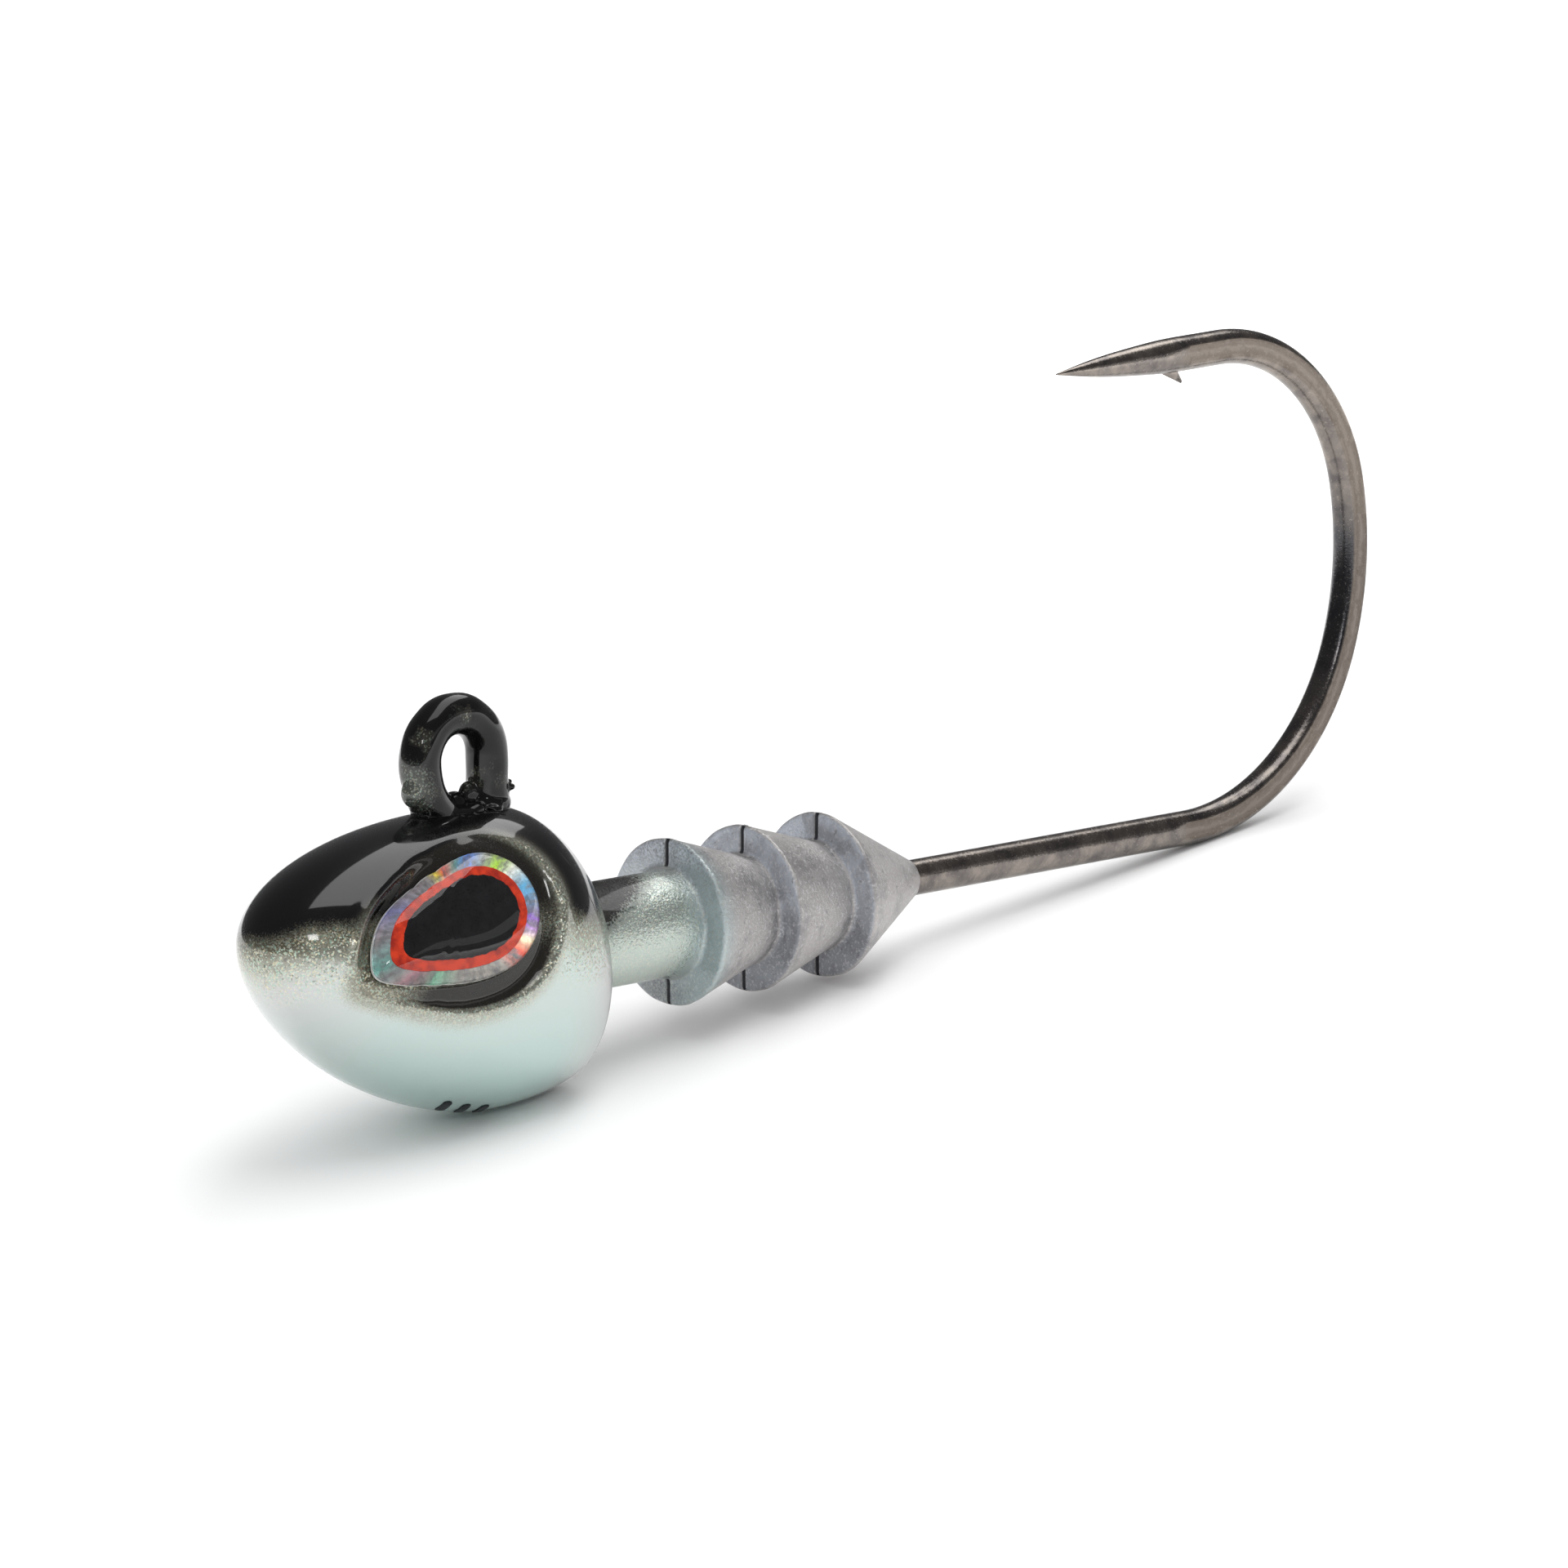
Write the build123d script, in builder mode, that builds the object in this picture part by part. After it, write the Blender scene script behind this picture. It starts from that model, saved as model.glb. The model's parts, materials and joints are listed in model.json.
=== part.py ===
"""Jig head for soft baits: a lacquered casting with a toothed keeper, cast on a jig hook, with two domed eyes."""
from build123d import *
from math import cos, hypot, pi, radians, sin
import os

# how the jig stands: on its belly and the hook's heel, with the shank falling to the rear
shank_slope = 7.4  # degrees
keeper_x = -9.502  # the first barb's front face on the shank axis, from the middle of the jig's length
keeper_height = 4.177

# hook: one forged wire, measured from that point along the shank and up
wire_radius = 0.66
bend_start = 26.72
bend_radii = (9.11, 11.91, 7.13)
bend_angles = (71.3, 30.6, 80.1)
point_run = 2.09  # round wire between the bend and the ground point
point_length = 6.69
point_slope = 0.2  # how steeply the ground point closes
tip_radius = 0.02
flat_start = 25.93
flat_half_thickness = 0.55
barb_reach = 1.05
barb_height = 0.71
barb_width = 0.46
stem_x = -8.34
stem_corner = 1.88
tie_radius = 1.52  # centre line of the wire around the line tie
tie_height = 7.03
return_radius = 2.72
return_angle = 58

# head
nose_x = -19.08
back_x = -5.28
nose_height = 1.63
crest_x = -9.95
crest_height = 5.35
crest_power = 2.08
crest_fall_power = 3.6
crest_fall = 0.65  # share of the rise lost at the back
belly_x = -9.37
belly_height = -5.29
belly_power = 1.67
belly_fall_power = 2.1
belly_fall = 0.09
cheek_x = -9.6
cheek_half_width = 4.39
cheek_power = 1.9
cheek_fall_power = 2.8
cheek_fall = 0.28
back_round = 0.8
head_stations = 14
lacquer = 0.1

# keeper: a neck and sawtooth barbs around the shank
neck_radius = 1.9
barb_radius = 3
barb_pitch = 3.66
barb_count = 3
barb_lip = 0.12
tail_length = 4.55
tail_radius = 0.71

# eyes: teardrop stickers, narrow end to the nose, outline in millimetres from the middle of the seat
teardrop = (
    (-3.46, -0.92), (-2.56, 0.68), (-0.58, 1.65), (1.65, 2.20), (3.03, 1.43),
    (3.41, -0.10), (2.16, -1.70), (0.21, -2.07), (-2.20, -1.74),
)
seat_x = -12.81
seat_height = 2.09
seat_half_width = 3.14
seat_yaw = 11.1  # degrees forward of square
seat_lift = 21.4  # degrees upward
seat_margin = 0.78
adhesive_thickness = 0.08
foil_thickness = 0.1
ink_thickness = 0.03
iris_share = (0.79, 0.745)  # of the sticker's outline, along and up
iris_shift = (0.03, 0)
pupil_share = (0.67, 0.605)
pupil_shift = (0.13, 0.03)
dome_height = 0.89
dome_sphere = 8.89

# lacquer on the line tie, and the printed size mark on the belly
tie_coat = 0.06
tie_hole_radius = 0.83
tie_web = 0.37
collar_base = (2.4, 1.4)
collar_top = (1.83, 0.84)
collar_bottom_height = 4.81
collar_top_height = 5.91
mark_size = (0.32, 1.1)
mark_pitch = 0.84
mark_count = 3
mark_x = -11.71
mark_lift = 0.03

os.makedirs("parts", exist_ok=True)

crest = (crest_x, crest_height - nose_height, crest_power, crest_fall, crest_fall_power)
belly = (belly_x, belly_height - nose_height, belly_power, belly_fall, belly_fall_power)
cheek = (cheek_x, cheek_half_width, cheek_power, cheek_fall, cheek_fall_power)

slope = radians(shank_slope)
along = Vector(cos(slope), 0, -sin(slope))
side = Plane(origin=(keeper_x, 0, keeper_height), x_dir=along, z_dir=(0, -1, 0))
shank_axis = Axis(side.origin, along)
tie_x = stem_x - tie_radius


def across(x, height=0.0):
    """Plane square to the shank, with its y axis up."""
    return Plane(origin=side.from_local_coords((x, height, 0)), x_dir=(0, 1, 0), z_dir=along)


def tie_lines(leg_bottom):
    """Centre line of the line tie in the hook's plane, from the cut end over the top and down the stem."""
    CenterArc((tie_x - tie_radius + return_radius, tie_height), return_radius, 180 + return_angle, -return_angle)
    CenterArc((tie_x, tie_height), tie_radius, 180, -180)
    Line((stem_x, tie_height), (stem_x, leg_bottom))


# hook
with BuildPart() as hook:
    with BuildLine(side) as wire_path:
        tie_lines(stem_corner)
        CenterArc((stem_x + stem_corner, stem_corner), stem_corner, 180, 90)
        Line((stem_x + stem_corner, 0), (bend_start, 0))
        start = (bend_start, 0)
        heading = 0
        for radius, angle in zip(bend_radii, bend_angles):
            bend = JernArc(start, (cos(radians(heading)), sin(radians(heading))), radius, angle)
            heading += angle
            start = side.to_local_coords(bend @ 1)
            start = (start.X, start.Y)
        PolarLine(start, point_run, heading)
    wire = wire_path.line
    with BuildSketch(Plane(origin=wire @ 0, z_dir=wire % 0)):
        Circle(wire_radius)
    sweep(path=wire)

    ground = Plane(origin=wire @ 1, x_dir=wire % 1, z_dir=(0, -1, 0))
    with BuildSketch(ground):
        with BuildLine():
            Spline((0, wire_radius), (point_length, tip_radius), tangents=((1, 0), (1, -point_slope)))
            Polyline((point_length, tip_radius), (point_length, 0), (0, 0), (0, wire_radius))
        make_face()
    revolve(axis=Axis(ground.origin, ground.x_dir))
    with BuildSketch(ground):
        with BuildLine():
            Polyline(
                (barb_reach, 0.6 * wire_radius),
                (0.1 * barb_reach, wire_radius + barb_height),
                (-0.1 * barb_reach, wire_radius + 0.9 * barb_height),
                (0.1 * barb_reach, 0.6 * wire_radius),
                close=True,
            )
        make_face()
    extrude(amount=barb_width / 2, both=True)

    bend_room = 12
    for facing in (-1, 1):
        with BuildSketch(side.offset(facing * flat_half_thickness)):
            with Locations((flat_start + bend_room / 2, bend_radii[0])):
                Rectangle(bend_room, 2.4 * bend_room)
        extrude(amount=facing * wire_radius, mode=Mode.SUBTRACT)
hook.part.label = "hook"
export_step(hook.part, "parts/hook.step")


def outline(x, peak_x, rise, power, fall, fall_power):
    """Distance from the nose's level to the head's outline at station x."""
    if x < peak_x:
        short = (peak_x - x) / (peak_x - nose_x)
        return rise * (1 - short**power) ** (1 / power)
    past = (x - peak_x) / (back_x - peak_x)
    return rise * (1 - fall * past**fall_power)


def egg(inset):
    """The head as one solid, with its surface moved in by inset."""
    with BuildPart() as solid:
        sections = [Vertex(*side.from_local_coords((nose_x + inset, nose_height, 0)))]
        for station in range(1, head_stations + 1):
            reach = 1 - cos(station / head_stations * pi / 2)
            x = nose_x + (back_x - nose_x) * reach
            top = nose_height + outline(x, *crest)
            bottom = nose_height + outline(x, *belly)
            half_width = outline(x, *cheek)
            shift = inset * (1 - 2 * reach)
            with BuildSketch(across(x + shift, (top + bottom) / 2)) as section:
                Ellipse(half_width - inset, (top - bottom) / 2 - inset)
            sections.append(section.sketch.face())
        loft(sections=sections)
        fillet(solid.faces().sort_by(shank_axis)[-1].edges(), back_round)
    return solid.part


def teardrop_sketch(margin=0.0, share=(1, 1), shift=(0, 0)):
    """The sticker's outline as a sketch, scaled by share, moved out by margin and along by shift."""
    with BuildSketch() as sketch:
        with BuildLine():
            moved = []
            for x, y in teardrop:
                grow = margin / hypot(x, y)
                moved.append(((share[0] + grow) * x + shift[0], (share[1] + grow) * y + shift[1]))
            Spline(*moved, periodic=True)
        make_face()
    return sketch.sketch


yaw = radians(seat_yaw)
lift = radians(seat_lift)
seat_centre = side.from_local_coords((seat_x, seat_height, seat_half_width))
seat_facing = side.from_local_coords((-sin(yaw) * cos(lift), sin(lift), cos(yaw) * cos(lift))) - side.origin
seat_run = along - seat_facing * along.dot(seat_facing)
seat = Plane(origin=seat_centre, x_dir=seat_run, z_dir=seat_facing)


def pockets(depth):
    """Cutters for both eye seats, their floors depth below the sticker."""
    with BuildPart() as cutter:
        with BuildSketch(seat.offset(-depth)):
            add(teardrop_sketch(seat_margin + depth))
        extrude(amount=3)
        mirror(about=Plane.XZ)
    return cutter.part


head_solid = egg(0)
core_solid = egg(lacquer)

# casting: head core, neck, barbs and tail in one piece
with BuildPart() as casting:
    add(core_solid)
    add(pockets(lacquer), mode=Mode.SUBTRACT)
    with BuildSketch(side):
        with BuildLine():
            edge = [(back_x - 2, 0), (back_x - 2, neck_radius), (0, neck_radius)]
            for barb in range(barb_count):
                front = barb * barb_pitch
                edge.append((front, barb_radius))
                edge.append((front + barb_lip, barb_radius))
                last = barb == barb_count - 1
                edge.append((front + tail_length, tail_radius) if last else (front + barb_pitch, neck_radius))
            edge.append((edge[-1][0], 0))
            Polyline(*edge, close=True)
        make_face()
    revolve(axis=shank_axis)
    add(hook.part, mode=Mode.SUBTRACT)
casting.part.label = "casting"
export_step(casting.part, "parts/casting.step")

# lacquer on the head, with the pockets lined and the neck and stem passing through
with BuildPart() as head_lacquer:
    add(head_solid)
    add(pockets(0), mode=Mode.SUBTRACT)
    add(core_solid - pockets(lacquer), mode=Mode.SUBTRACT)
    with BuildSketch(across(back_x - 2)):
        Circle(neck_radius)
    extrude(amount=4, mode=Mode.SUBTRACT)
    add(hook.part, mode=Mode.SUBTRACT)
head_lacquer.part.label = "head_lacquer"
export_step(head_lacquer.part, "parts/head_lacquer.step")

# lacquer on the line tie, pooled into a web and a collar where the wire leaves the head
with BuildPart() as line_tie_lacquer:
    with BuildLine(side) as coat_path:
        tie_lines(collar_bottom_height)
    coat_line = coat_path.line
    with BuildSketch(Plane(origin=coat_line @ 0, z_dir=coat_line % 0)):
        Circle(wire_radius + tie_coat)
    sweep(path=coat_line)
    with BuildSketch(side):
        with Locations((tie_x, tie_height - 0.9 * tie_radius)):
            Rectangle(1.8 * tie_radius, 1.8 * tie_radius)
    extrude(amount=tie_web, both=True)
    for height, radii in ((collar_bottom_height, collar_base), (collar_top_height, collar_top)):
        collar_plane = Plane(
            origin=side.from_local_coords((tie_x + 0.1, height, 0)), x_dir=along, z_dir=side.y_dir
        )
        with BuildSketch(collar_plane):
            Ellipse(*radii)
    loft()
    drip = radians(50)
    with BuildSketch(side):
        with Locations((tie_x, tie_height)):
            Circle(tie_hole_radius)
        with BuildLine():
            Polyline(
                (tie_x + tie_hole_radius * cos(drip), tie_height - tie_hole_radius * sin(drip)),
                (tie_x, tie_height - tie_hole_radius / sin(drip)),
                (tie_x - tie_hole_radius * cos(drip), tie_height - tie_hole_radius * sin(drip)),
                (tie_x, tie_height),
                close=True,
            )
        make_face()
    extrude(amount=2, both=True, mode=Mode.SUBTRACT)
    add(head_solid, mode=Mode.SUBTRACT)
    add(hook.part, mode=Mode.SUBTRACT)
line_tie_lacquer.part.label = "line_tie_lacquer"
export_step(line_tie_lacquer.part, "parts/line_tie_lacquer.step")


def eye_layer(bottom, thickness, share=(1, 1), shift=(0, 0)):
    """One flat layer of the left eye."""
    with BuildPart() as layer:
        with BuildSketch(seat.offset(bottom)):
            add(teardrop_sketch(share=share, shift=shift))
        extrude(amount=thickness)
    return layer


foil_top = adhesive_thickness + foil_thickness
adhesive = eye_layer(0, adhesive_thickness)
foil = eye_layer(adhesive_thickness, foil_thickness)
pupil = eye_layer(foil_top, ink_thickness, pupil_share, pupil_shift)
iris = eye_layer(foil_top, ink_thickness, iris_share, iris_shift)
with iris:
    add(pupil.part, mode=Mode.SUBTRACT)
dome = eye_layer(foil_top, dome_height)
with dome:
    with Locations(seat.offset(foil_top + dome_height - dome_sphere)):
        Sphere(dome_sphere, mode=Mode.INTERSECT)
    add([iris.part, pupil.part], mode=Mode.SUBTRACT)

eye_layers = {"adhesive": adhesive, "foil": foil, "iris": iris, "pupil": pupil, "dome": dome}
for layer_name, layer in eye_layers.items():
    label = f"eye_{layer_name}_left"
    layer.part.label = label
    export_step(layer.part, f"parts/{label}.step")
    with BuildPart() as mirrored:
        mirror(layer.part, about=Plane.XZ)
    label = f"eye_{layer_name}_right"
    mirrored.part.label = label
    export_step(mirrored.part, f"parts/{label}.step")

# size mark: short printed bars across the belly
with BuildPart() as size_mark:
    for bar in range(mark_count):
        bar_x = mark_x + bar * mark_pitch
        bar_plane = Plane(
            origin=side.from_local_coords((bar_x, belly_height, 0)), x_dir=along, z_dir=-side.y_dir
        )
        with BuildSketch(bar_plane.offset(-3)):
            with Locations((0, 1.3)):
                SlotOverall(mark_size[1], mark_size[0], rotation=70)
        extrude(amount=4)
    add(egg(-mark_lift), mode=Mode.INTERSECT)
    add(head_solid, mode=Mode.SUBTRACT)
size_mark.part.label = "size_mark"
export_step(size_mark.part, "parts/size_mark.step")
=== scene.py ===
import json
from math import acos, atan2, cos, exp, hypot, pi, radians, sin

import bmesh
import bpy
import numpy as np
from mathutils import Matrix, Vector, noise


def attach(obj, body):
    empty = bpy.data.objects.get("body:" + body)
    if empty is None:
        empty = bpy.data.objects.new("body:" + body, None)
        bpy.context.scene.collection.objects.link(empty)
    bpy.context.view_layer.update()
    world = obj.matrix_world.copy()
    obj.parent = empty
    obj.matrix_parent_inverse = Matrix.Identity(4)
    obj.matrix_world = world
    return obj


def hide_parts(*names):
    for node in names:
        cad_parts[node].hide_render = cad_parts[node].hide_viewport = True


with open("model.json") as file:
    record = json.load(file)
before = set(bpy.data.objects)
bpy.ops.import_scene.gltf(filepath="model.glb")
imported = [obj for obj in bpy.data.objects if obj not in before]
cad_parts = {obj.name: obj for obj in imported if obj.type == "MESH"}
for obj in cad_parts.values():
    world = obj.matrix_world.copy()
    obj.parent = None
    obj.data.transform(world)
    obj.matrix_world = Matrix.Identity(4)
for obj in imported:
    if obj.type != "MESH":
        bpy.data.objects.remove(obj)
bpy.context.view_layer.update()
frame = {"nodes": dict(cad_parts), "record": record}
scene = bpy.context.scene

# the jig's own axes: x along the shank to the bend, y across, z up from the shank, in millimetres
keeperMount = next(m for m in frame["record"]["mounts"] if m["name"] == "bait_keeper")
shankAlong = Vector(keeperMount["axis"])
shankUp = Vector((-shankAlong.z, 0, shankAlong.x))
mountToBarb = 0.00264  # metres from the mount's middle to the first barb's front face
shankStart = Vector(keeperMount["pos_m"]) + shankAlong * mountToBarb
jigTurn = Matrix((shankAlong, (0, 1, 0), shankUp)).transposed()
toRow = Matrix.Translation(shankStart) @ jigTurn.to_4x4() @ Matrix.Scale(0.001, 4)
print("jig axes ready")


def smooth(value, low, high):
    t = min(1.0, max(0.0, (value - low) / (high - low)))
    return t * t * (3 - 2 * t)


def wobble(place, size, seed=0.0):
    return noise.noise(Vector(place) / size + Vector((seed, seed * 2, -seed)))


def finishPiece(name, bm, nodes, material):
    bmesh.ops.remove_doubles(bm, verts=bm.verts, dist=1e-5)
    bmesh.ops.recalc_face_normals(bm, faces=bm.faces)
    bmesh.ops.transform(bm, matrix=toRow, verts=bm.verts)
    mesh = bpy.data.meshes.new(name)
    bm.to_mesh(mesh)
    bm.free()
    return placeMesh(name, mesh, nodes, material)


def placeMesh(name, mesh, nodes, material):
    mesh.shade_smooth()
    mesh.materials.clear()
    mesh.materials.append(material)
    piece = bpy.data.objects.new(name, mesh)
    scene.collection.objects.link(piece)
    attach(piece, "root")
    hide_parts(*nodes)
    return piece


def newMaterial(name):
    material = bpy.data.materials.new(name)
    material.use_nodes = True
    return material, material.node_tree, material.node_tree.nodes["Principled BSDF"]


def node(tree, kind, inputs=None, **settings):
    made = tree.nodes.new(kind)
    for key, value in settings.items():
        setattr(made, key, value)
    for key, value in (inputs or {}).items():
        feed(tree, made, key, value)
    return made


def feed(tree, target, key, value):
    socket = target.inputs[key]
    if isinstance(value, bpy.types.NodeSocket):
        tree.links.new(value, socket)
    else:
        socket.default_value = value


def maths(tree, operation, first, second=0.0):
    return node(tree, "ShaderNodeMath", {0: first, 1: second}, operation=operation).outputs[0]


def vectorMaths(tree, operation, output, inputs):
    return node(tree, "ShaderNodeVectorMath", inputs, operation=operation).outputs[output]


def times(tree, first, second):
    return maths(tree, "MULTIPLY", first, second)


def plus(tree, first, second):
    return maths(tree, "ADD", first, second)


def jitter(tree, value, source, amount):
    return plus(tree, value, times(tree, maths(tree, "SUBTRACT", source, 0.5), amount))


def mixColour(tree, share, first, second, blend="MIX"):
    made = node(tree, "ShaderNodeMix", data_type="RGBA", blend_type=blend)
    for key, value in ((0, share), (6, first), (7, second)):
        feed(tree, made, key, (*value, 1) if isinstance(value, tuple) else value)
    return made.outputs[2]


def grey(tree, value):
    return node(tree, "ShaderNodeCombineColor", {0: value, 1: value, 2: value}).outputs[0]


def attribute(tree, name):
    return node(tree, "ShaderNodeAttribute", attribute_name=name).outputs["Fac"]


def mixValue(tree, share, first, second):
    return node(tree, "ShaderNodeMix", {0: share, 2: first, 3: second}, data_type="FLOAT").outputs[0]


def ramp(tree, value, stops):
    made = node(tree, "ShaderNodeValToRGB", {0: value})
    bands = made.color_ramp.elements
    while len(bands) < len(stops):
        bands.new(0.5)
    for band, (place, colour) in zip(bands, stops):
        band.position = place
        band.color = (*colour, 1)
    return made.outputs[0]


def span(tree, value, low, high, toLow=0.0, toHigh=1.0):
    return node(tree, "ShaderNodeMapRange", {0: value, 1: low, 2: high, 3: toLow, 4: toHigh}).outputs[0]


def objectPlace(tree):
    return node(tree, "ShaderNodeTexCoord").outputs["Object"]


def jigCoordinate(tree, place, axis):
    direction = axis * 1000  # from metres to millimetres
    dot = vectorMaths(tree, "DOT_PRODUCT", "Value", {0: place, 1: tuple(direction)})
    return maths(tree, "SUBTRACT", dot, shankStart.dot(direction))


def noiseValue(tree, place, scale, detail=2.0, roughness=0.5, distortion=0.0):
    inputs = {"Vector": place, "Scale": scale, "Detail": detail, "Roughness": roughness, "Distortion": distortion}
    return node(tree, "ShaderNodeTexNoise", inputs).outputs[0]


def newGroup(name, inputs, outputs):
    group = bpy.data.node_groups.new(name, "ShaderNodeTree")
    for socketName, kind, value in inputs:
        socket = group.interface.new_socket(socketName, in_out="INPUT", socket_type=kind)
        if value is not None:
            socket.default_value = value
    for socketName, kind in outputs:
        group.interface.new_socket(socketName, in_out="OUTPUT", socket_type=kind)
    return group, group.nodes.new("NodeGroupInput").outputs, group.nodes.new("NodeGroupOutput")


def useGroup(tree, group, **values):
    made = node(tree, "ShaderNodeGroup", node_tree=group)
    for key, value in values.items():
        feed(tree, made, key, value)
    return made.outputs


# metal flakes in paint or foil: which spots carry one, its tint and how it tips
def makeFlakes():
    group, given, out = newGroup(
        "paintFlakes",
        [
            ("Place", "NodeSocketVector", None), ("Scale", "NodeSocketFloat", 14000.0),
            ("Density", "NodeSocketFloat", 0.3),
        ],
        [("Mask", "NodeSocketFloat"), ("Tint", "NodeSocketColor"), ("Tip", "NodeSocketColor")],
    )
    cells = node(group, "ShaderNodeTexVoronoi", {"Vector": given["Place"], "Scale": given["Scale"]}, feature="F1")
    parts = node(group, "ShaderNodeSeparateColor", {0: cells.outputs["Color"]})
    limit = maths(group, "SUBTRACT", 1.0, given["Density"])
    chosen = maths(group, "GREATER_THAN", parts.outputs[0], limit)
    tint = ramp(group, parts.outputs[1], [
        (0.0, (0.42, 0.72, 0.55)), (0.4, (0.68, 0.80, 0.70)), (0.7, (0.84, 0.76, 0.48)), (1.0, (0.88, 0.88, 0.84))])
    feed(group, out, "Mask", chosen)
    feed(group, out, "Tint", tint)
    feed(group, out, "Tip", cells.outputs["Color"])
    return group


# fine grain and blotches of a cast or plated metal surface
def makeGrain():
    group, given, out = newGroup(
        "metalGrain",
        [
            ("Place", "NodeSocketVector", None), ("Grain", "NodeSocketFloat", 9000.0),
            ("Blotch", "NodeSocketFloat", 900.0),
        ],
        [("Fine", "NodeSocketFloat"), ("Broad", "NodeSocketFloat"), ("Height", "NodeSocketFloat")],
    )
    fine = noiseValue(group, given["Place"], given["Grain"], 3.0, 0.65)
    broad = noiseValue(group, given["Place"], given["Blotch"], 4.0, 0.6, 0.4)
    feed(group, out, "Fine", fine)
    feed(group, out, "Broad", broad)
    feed(group, out, "Height", plus(group, fine, times(group, broad, 0.5)))
    return group


flakes = makeFlakes()
grain = makeGrain()


def bumped(tree, height, strength, distance, **normal):
    inputs = {"Height": height, "Strength": strength, "Distance": distance, **normal}
    return node(tree, "ShaderNodeBump", inputs).outputs[0]


def tipped(tree, tip, mask, amount):
    offset = vectorMaths(tree, "SUBTRACT", 0, {0: tip, 1: (0.5, 0.5, 0.5)})
    sized = vectorMaths(tree, "SCALE", 0, {0: offset, "Scale": times(tree, mask, amount)})
    normal = node(tree, "ShaderNodeNewGeometry").outputs["Normal"]
    summed = vectorMaths(tree, "ADD", 0, {0: normal, 1: sized})
    return vectorMaths(tree, "NORMALIZE", 0, {0: summed})


headShape = {
    "noseX": -19.08, "backX": -5.28, "noseHeight": 1.63, "backRound": 0.8,
    "crest": (-9.95, 3.72, 2.08, 0.65, 3.6),  # station of the peak, rise, power, fall, fall power
    "belly": (-9.37, -6.92, 1.67, 0.09, 2.1),
    "cheek": (-9.6, 4.39, 1.9, 0.28, 2.8),
    "sideShare": 0.8, "cornerShare": 0.1,  # share of the rings on the side and round the back's corner
    "segments": 288, "rings": 230,
}
eyeSeat = {"x": -12.81, "height": 2.09, "halfWidth": 3.14, "yaw": 11.1, "lift": 21.4}
socketShape = {
    "floor": -0.07, "flat": 0.1, "ridge": 0.10,
    "reach": 6, "behind": -2.5,  # nothing further out or further in belongs to the socket
    "trench": (  # depth by direction
        (-180, 0.03), (-150, 0.05), (-118, 0.15), (-60, 0.26), (-20, 0.26), (20, 0.20), (60, 0.08), (120, 0.08),
        (180, 0.03),
    ),
    "rim": (  # how far the rim stands outside the sticker, by direction from the eye's middle in degrees
        (-180, 0.66), (-165, 0.66), (-150, 0.72), (-132, 0.82), (-95, 1.0), (-58, 1.15), (-35, 1.15),
        (-10, 1.0), (5, 0.98), (40, 0.95), (80, 0.8), (120, 0.75), (160, 0.7), (180, 0.66),
    ),
    "trenchShade": (  # how much painted shade darkens the trench, by direction
        (-180, 0.0), (-150, 0.2), (-115, 0.95), (-40, 1.0), (-10, 0.62), (30, 0.62), (60, 1.0), (120, 0.85),
        (160, 0.2), (180, 0.0),
    ),
    "rimGlitterAndHighlight": (  # how much the flakes show on the rim, with a painted highlight along it
        (-180, 0.45), (-120, 0.9), (-60, 1.0), (0, 1.0), (30, 0.8), (50, 0.15), (70, 0.0), (150, 0.0),
        (165, 0.25), (180, 0.45),
    ),
}


def headOutline(x, peakX, rise, power, fall, fallPower):
    if x < peakX:
        short = min(1.0, (peakX - x) / (peakX - headShape["noseX"]))
        return rise * (1 - short**power) ** (1 / power)
    past = (x - peakX) / (headShape["backX"] - peakX)
    return rise * (1 - fall * past**fallPower)


def headSection(x):
    top = headShape["noseHeight"] + headOutline(x, *headShape["crest"])
    bottom = headShape["noseHeight"] + headOutline(x, *headShape["belly"])
    return (top + bottom) / 2, (top - bottom) / 2, headOutline(x, *headShape["cheek"])


def headPlace(share, angle):
    nose, back, rounding = headShape["noseX"], headShape["backX"], headShape["backRound"]
    side, corner = headShape["sideShare"], headShape["cornerShare"]
    if share < side:
        x, inset, rest = nose + (back - rounding - nose) * (1 - cos(share / side * pi / 2)), 0, 1
    elif share < side + corner:
        turn = (share - side) / corner * pi / 2
        x, inset, rest = back - rounding + rounding * sin(turn), rounding * (1 - cos(turn)), 1
    else:
        x, inset, rest = back, rounding, (1 - share) / corner
    middle, halfHeight, halfWidth = headSection(x)
    return Vector((x, (halfWidth - inset) * rest * cos(angle), middle + (halfHeight - inset) * rest * sin(angle)))


yaw, lift = radians(eyeSeat["yaw"]), radians(eyeSeat["lift"])
seatMiddle = Vector((eyeSeat["x"], -eyeSeat["halfWidth"], eyeSeat["height"]))
seatFacing = Vector((-sin(yaw) * cos(lift), -cos(yaw) * cos(lift), sin(lift)))
seatRun = (Vector((1, 0, 0)) - seatFacing * seatFacing.x).normalized()
seatUp = seatFacing.cross(seatRun)

# the sticker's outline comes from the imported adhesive: distance from the seat's middle by direction
toJig = toRow.inverted()
outline = []
for vertex in frame["nodes"]["eye_adhesive_left"].data.vertices:
    spot = toJig @ vertex.co - seatMiddle
    outline.append((atan2(spot.dot(seatUp), spot.dot(seatRun)), hypot(spot.dot(seatUp), spot.dot(seatRun))))
outline = np.array(sorted(outline))


def byDirection(key, angle):
    return float(np.interp(angle, np.radians([r[0] for r in socketShape[key]]), [r[1] for r in socketShape[key]]))


def stickerReach(angle):
    return float(np.interp(angle, outline[:, 0], outline[:, 1], period=2 * pi))


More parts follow.
